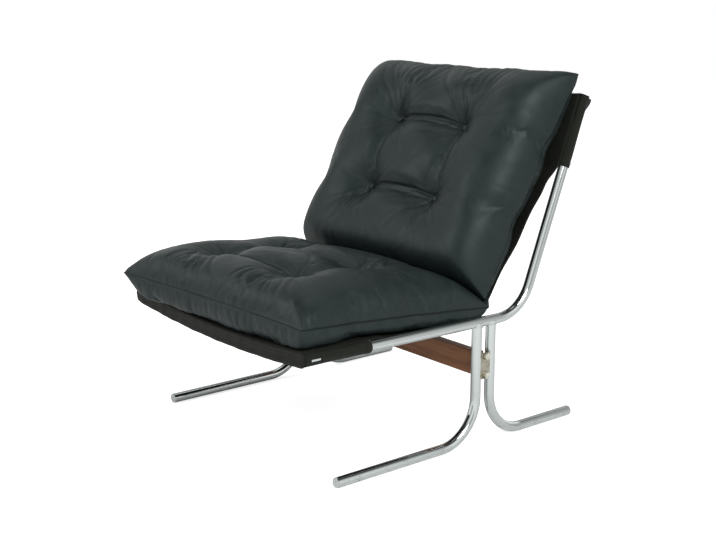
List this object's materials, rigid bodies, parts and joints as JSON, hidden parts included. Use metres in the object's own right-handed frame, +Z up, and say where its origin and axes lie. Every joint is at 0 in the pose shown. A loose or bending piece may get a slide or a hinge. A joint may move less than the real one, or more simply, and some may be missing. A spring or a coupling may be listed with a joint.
{
  "type": "lounge chair",
  "caption": "Low lounge chair with bent chromed tube sides, a wooden stretcher, a hanging cloth sling and loose tufted leather seat and back cushions.",
  "frame": {"origin": "on the floor, under the middle of the chair's box", "axes": "+Z up, -Y to the front where the sitter's knees are, +X to the right as seen from the front"},
  "size_m": [0.6548, 0.8016, 0.7783],
  "materials": {
    "chromed_tube": "polished",
    "zinc_steel": "dull, slightly worn zinc",
    "brown_wood": "oiled",
    "dark_canvas": "matte woven",
    "dark_leather": "soft satin",
    "filling": "matte",
    "tuft_cord": "matte"
  },
  "bodies": {
    "frame": {"barrel_nuts": "zinc_steel", "foot_plugs": "chromed_tube", "front_band": "dark_canvas", "left_bracket_plate": "zinc_steel", "left_front_leg": "chromed_tube", "left_front_sleeve": "dark_canvas", "left_rear_leg": "chromed_tube", "left_side_rail": "chromed_tube", "left_top_sleeve": "dark_canvas", "leg_welds": "chromed_tube", "rail_plugs": "chromed_tube", "right_bracket_plate": "zinc_steel", "right_front_leg": "chromed_tube", "right_front_sleeve": "dark_canvas", "right_rear_leg": "chromed_tube", "right_side_rail": "chromed_tube", "right_top_sleeve": "dark_canvas", "sling_panel": "dark_canvas", "stretcher": "brown_wood", "stretcher_bolts": "zinc_steel", "stretcher_washers": "zinc_steel", "top_band": "dark_canvas"},
    "seat_cushion": {"seat_buttons": "dark_leather", "seat_cords": "tuft_cord", "seat_fill": "filling", "seat_lower_cover": "dark_leather", "seat_upper_cover": "dark_leather"},
    "back_cushion": {"back_buttons": "dark_leather", "back_cords": "tuft_cord", "back_fill": "filling", "back_lower_cover": "dark_leather", "back_upper_cover": "dark_leather"}
  },
  "joints": [
    {"name": "seat_lift", "type": "slide", "parent": "frame", "child": "seat_cushion", "axis": [0, -0.9397, 0.342], "range_m": [0, 0.52]},
    {"name": "back_lift", "type": "slide", "parent": "frame", "child": "back_cushion", "axis": [0, 0, 1], "range_m": [0, 0.45]}
  ]
}
